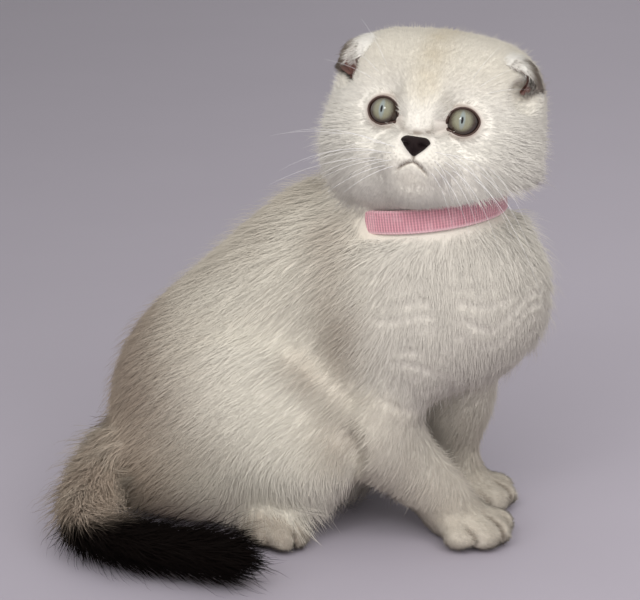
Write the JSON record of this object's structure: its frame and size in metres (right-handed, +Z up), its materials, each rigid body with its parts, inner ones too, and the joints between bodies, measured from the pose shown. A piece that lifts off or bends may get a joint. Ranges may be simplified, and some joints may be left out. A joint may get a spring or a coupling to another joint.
{
  "type": "sitting kitten figure",
  "caption": "Sitting fold-eared kitten, life size, head turned to its right, bushy dark tail curled round the haunch, plain band collar.",
  "frame": {"origin": "on the floor, on the flat underside of the rump and belly that the kitten sits on", "axes": "+X to the kitten's left, -Y the way its body faces, +Z up"},
  "size_m": [0.1704, 0.2021, 0.2186],
  "materials": {
    "coat_white": "dense short white fur",
    "coat_cream": "plush cream fur with grey-brown ticking on the back",
    "coat_grey": "longer grey-brown ticked fur",
    "coat_dark": "long near-black bushy fur",
    "ear": "thin furred ear, bare and brownish inside",
    "eye": "wet grey-green eye under a clear cornea",
    "nose": "bare near-black nose leather, slightly moist",
    "collar": "pink ribbed woven band"
  },
  "bodies": {
    "root": {"head": "coat_white", "neck": "coat_cream", "torso": "coat_cream", "ear_right": "ear", "ear_left": "ear", "eye_right": "eye", "eye_left": "eye", "nose": "nose", "leg_front_right": "coat_cream", "leg_front_left": "coat_cream", "paw_front_right": "coat_cream", "paw_front_left": "coat_cream", "leg_hind_right": "coat_cream", "leg_hind_left": "coat_cream", "paw_hind_right": "coat_cream", "paw_hind_left": "coat_cream", "tail_root": "coat_grey", "tail_middle": "coat_dark", "tail_tip": "coat_dark", "collar": "collar"}
  },
  "joints": []
}
